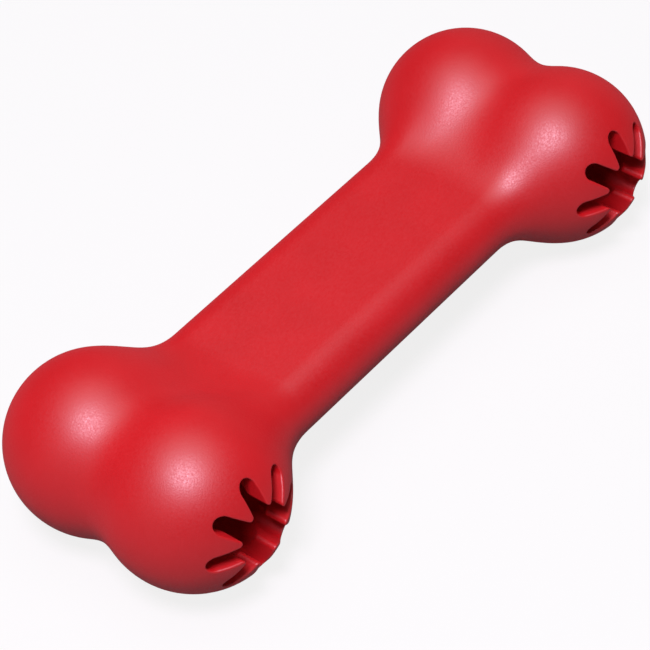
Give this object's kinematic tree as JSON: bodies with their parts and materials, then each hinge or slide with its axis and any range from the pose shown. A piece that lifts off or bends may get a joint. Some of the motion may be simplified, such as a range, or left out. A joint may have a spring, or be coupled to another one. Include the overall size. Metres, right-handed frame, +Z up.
{
  "type": "chew bone",
  "caption": "Rubber dog chew bone: ball knuckles on a flat bar, with hollow treat mouths on one side whose flexible teeth bend in and out.",
  "frame": {"origin": "on the ground under the middle of the bone's length and width", "axes": "+X along the bone, both treat mouths face -Y, +Z up"},
  "size_m": [0.1778, 0.0693, 0.0426],
  "materials": {
    "rubber": "satin"
  },
  "bodies": {
    "bone": {"bone_body": "rubber"},
    "left_tooth_1": {"left_tooth_1": "rubber"},
    "left_tooth_2": {"left_tooth_2": "rubber"},
    "left_tooth_3": {"left_tooth_3": "rubber"},
    "left_tooth_4": {"left_tooth_4": "rubber"},
    "left_tooth_5": {"left_tooth_5": "rubber"},
    "left_tooth_6": {"left_tooth_6": "rubber"},
    "left_tooth_7": {"left_tooth_7": "rubber"},
    "left_tooth_8": {"left_tooth_8": "rubber"},
    "right_tooth_1": {"right_tooth_1": "rubber"},
    "right_tooth_2": {"right_tooth_2": "rubber"},
    "right_tooth_3": {"right_tooth_3": "rubber"},
    "right_tooth_4": {"right_tooth_4": "rubber"},
    "right_tooth_5": {"right_tooth_5": "rubber"},
    "right_tooth_6": {"right_tooth_6": "rubber"},
    "right_tooth_7": {"right_tooth_7": "rubber"},
    "right_tooth_8": {"right_tooth_8": "rubber"}
  },
  "joints": [
    {"name": "left_tooth_1_bend", "type": "hinge", "parent": "bone", "child": "left_tooth_1", "pos_m": [-0.05906, -0.0301, 0.02494], "axis": [0.3827, 0, -0.9239], "range_deg": [-30, 45], "stiffness_Nm_per_rad": 0.06},
    {"name": "left_tooth_2_bend", "type": "hinge", "parent": "bone", "child": "left_tooth_2", "pos_m": [-0.06406, -0.0301, 0.02994], "axis": [0.9239, 0, -0.3827], "range_deg": [-30, 45], "stiffness_Nm_per_rad": 0.06},
    {"name": "left_tooth_3_bend", "type": "hinge", "parent": "bone", "child": "left_tooth_3", "pos_m": [-0.07114, -0.0301, 0.02994], "axis": [0.9239, 0, 0.3827], "range_deg": [-30, 45], "stiffness_Nm_per_rad": 0.06},
    {"name": "left_tooth_4_bend", "type": "hinge", "parent": "bone", "child": "left_tooth_4", "pos_m": [-0.07615, -0.0301, 0.02494], "axis": [0.3827, 0, 0.9239], "range_deg": [-30, 45], "stiffness_Nm_per_rad": 0.06},
    {"name": "left_tooth_5_bend", "type": "hinge", "parent": "bone", "child": "left_tooth_5", "pos_m": [-0.07615, -0.0301, 0.01786], "axis": [-0.3827, 0, 0.9239], "range_deg": [-30, 45], "stiffness_Nm_per_rad": 0.06},
    {"name": "left_tooth_6_bend", "type": "hinge", "parent": "bone", "child": "left_tooth_6", "pos_m": [-0.07114, -0.0301, 0.01286], "axis": [-0.9239, 0, 0.3827], "range_deg": [-30, 45], "stiffness_Nm_per_rad": 0.06},
    {"name": "left_tooth_7_bend", "type": "hinge", "parent": "bone", "child": "left_tooth_7", "pos_m": [-0.06406, -0.0301, 0.01286], "axis": [-0.9239, 0, -0.3827], "range_deg": [-30, 45], "stiffness_Nm_per_rad": 0.06},
    {"name": "left_tooth_8_bend", "type": "hinge", "parent": "bone", "child": "left_tooth_8", "pos_m": [-0.05906, -0.0301, 0.01786], "axis": [-0.3827, 0, -0.9239], "range_deg": [-30, 45], "stiffness_Nm_per_rad": 0.06},
    {"name": "right_tooth_1_bend", "type": "hinge", "parent": "bone", "child": "right_tooth_1", "pos_m": [0.07615, -0.0301, 0.02494], "axis": [0.3827, 0, -0.9239], "range_deg": [-30, 45], "stiffness_Nm_per_rad": 0.06},
    {"name": "right_tooth_2_bend", "type": "hinge", "parent": "bone", "child": "right_tooth_2", "pos_m": [0.07114, -0.0301, 0.02994], "axis": [0.9239, 0, -0.3827], "range_deg": [-30, 45], "stiffness_Nm_per_rad": 0.06},
    {"name": "right_tooth_3_bend", "type": "hinge", "parent": "bone", "child": "right_tooth_3", "pos_m": [0.06406, -0.0301, 0.02994], "axis": [0.9239, 0, 0.3827], "range_deg": [-30, 45], "stiffness_Nm_per_rad": 0.06},
    {"name": "right_tooth_4_bend", "type": "hinge", "parent": "bone", "child": "right_tooth_4", "pos_m": [0.05906, -0.0301, 0.02494], "axis": [0.3827, 0, 0.9239], "range_deg": [-30, 45], "stiffness_Nm_per_rad": 0.06},
    {"name": "right_tooth_5_bend", "type": "hinge", "parent": "bone", "child": "right_tooth_5", "pos_m": [0.05906, -0.0301, 0.01786], "axis": [-0.3827, 0, 0.9239], "range_deg": [-30, 45], "stiffness_Nm_per_rad": 0.06},
    {"name": "right_tooth_6_bend", "type": "hinge", "parent": "bone", "child": "right_tooth_6", "pos_m": [0.06406, -0.0301, 0.01286], "axis": [-0.9239, 0, 0.3827], "range_deg": [-30, 45], "stiffness_Nm_per_rad": 0.06},
    {"name": "right_tooth_7_bend", "type": "hinge", "parent": "bone", "child": "right_tooth_7", "pos_m": [0.07114, -0.0301, 0.01286], "axis": [-0.9239, 0, -0.3827], "range_deg": [-30, 45], "stiffness_Nm_per_rad": 0.06},
    {"name": "right_tooth_8_bend", "type": "hinge", "parent": "bone", "child": "right_tooth_8", "pos_m": [0.07615, -0.0301, 0.01786], "axis": [-0.3827, 0, -0.9239], "range_deg": [-30, 45], "stiffness_Nm_per_rad": 0.06}
  ]
}
